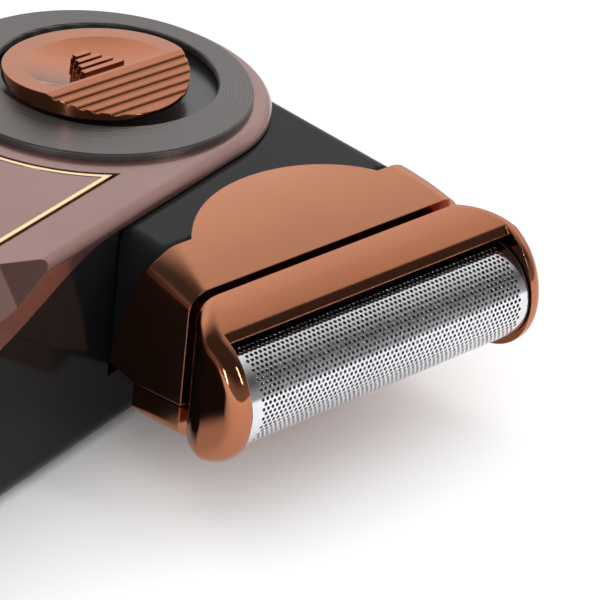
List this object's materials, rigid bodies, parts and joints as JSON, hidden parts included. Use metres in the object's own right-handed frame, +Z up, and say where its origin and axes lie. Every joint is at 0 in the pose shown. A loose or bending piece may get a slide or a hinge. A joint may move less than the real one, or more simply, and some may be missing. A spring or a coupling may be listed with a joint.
{
  "type": "foil shaver",
  "caption": "Foil shaver with a bronze and black handle and a copper foil head on an arm that swivels about a round pivot with a thumb switch.",
  "frame": {"origin": "where the swivel axis meets the handle's flat back", "axes": "+Z up through the handle's thickness, +Y from the tail to the handle's round end, +X towards the side the head is folded to"},
  "size_m": [0.0833, 0.1227, 0.0343],
  "materials": {
    "bronze_gloss": "glossy metallic bronze lacquer",
    "gold_trim": "polished pale gold",
    "grey_satin": "satin dark grey with fine turned lines",
    "black_gloss": "piano black",
    "steel": "plain bright steel",
    "battery_sleeve": "heat-shrink sleeve",
    "nickel": "nickel plated spring sheet",
    "board_green": "solder mask",
    "clear_lens": "clear light pipe",
    "nylon": "natural nylon",
    "bearing_bronze": "sintered bronze",
    "black_matte": "matt black moulding",
    "copper_chrome": "polished copper plating",
    "foil_steel": "bright perforated foil"
  },
  "bodies": {
    "handle": {"top_cover": "bronze_gloss", "inlay_trim": "gold_trim", "inlay_plate": "bronze_gloss", "bezel_ring": "grey_satin", "lower_body": "black_gloss", "handle_screws": "steel", "battery": "battery_sleeve", "battery_clips": "nickel", "circuit_board": "board_green", "charging_socket": "steel", "charge_light": "clear_lens", "pivot_axle": "steel", "thrust_washer": "nylon", "spring_washer": "steel", "retaining_clip": "steel"},
    "head": {"pivot_bush": "bearing_bronze", "arm_upper_shell": "black_gloss", "arm_lower_shell": "black_gloss", "arm_screws": "steel", "hub_plate": "grey_satin", "slide_switch": "black_matte", "drive_motor": "steel", "motor_bracket": "steel", "guide_rods": "steel", "head_housing_top": "copper_chrome", "head_housing_bottom": "copper_chrome", "chassis_screws": "steel", "head_chassis": "black_matte"},
    "switch": {"switch_knob": "copper_chrome"},
    "crank": {"crank": "nylon"},
    "drive": {"drive_bridge": "nylon"},
    "cutter": {"cutter_carrier": "black_matte", "cutter_blades": "steel", "cutter_springs": "steel"},
    "frame": {"foil_frame": "copper_chrome"},
    "cassette": {"foil": "foil_steel", "foil_end_plug_left": "black_matte", "foil_end_plug_right": "black_matte"}
  },
  "joints": [
    {"name": "head_swivel", "type": "hinge", "parent": "handle", "child": "head", "pos_m": [0, 0, 0.019], "axis": [0, 0, 1], "range_deg": [0, 103.6]},
    {"name": "power_switch", "type": "slide", "parent": "head", "child": "switch", "axis": [0.972, -0.2351, 0], "range_m": [0, 0.003]},
    {"name": "crank_spin", "type": "hinge", "parent": "head", "child": "crank", "pos_m": [0, 0, 0.0184], "axis": [0.972, -0.2351, 0], "continuous": true},
    {"name": "cutter_stroke", "type": "slide", "parent": "head", "child": "drive", "axis": [0.2351, 0.972, 0], "range_m": [-0.0012, 0.0012]},
    {"name": "cutter_float", "type": "slide", "parent": "drive", "child": "cutter", "axis": [-0.972, 0.2351, 0], "range_m": [0, 0.0008], "deforming": ["cutter_springs"]},
    {"name": "foil_release", "type": "slide", "parent": "head", "child": "frame", "axis": [0.972, -0.2351, 0], "range_m": [0, 0.012]},
    {"name": "foil_float", "type": "slide", "parent": "frame", "child": "cassette", "axis": [-0.972, 0.2351, 0], "range_m": [0, 0.0008], "stiffness_N_per_m": 700, "springref_m": -0.001}
  ],
  "couplings": [
    {"joint": "cutter_float", "follows": "foil_float", "ratio": 1}
  ]
}
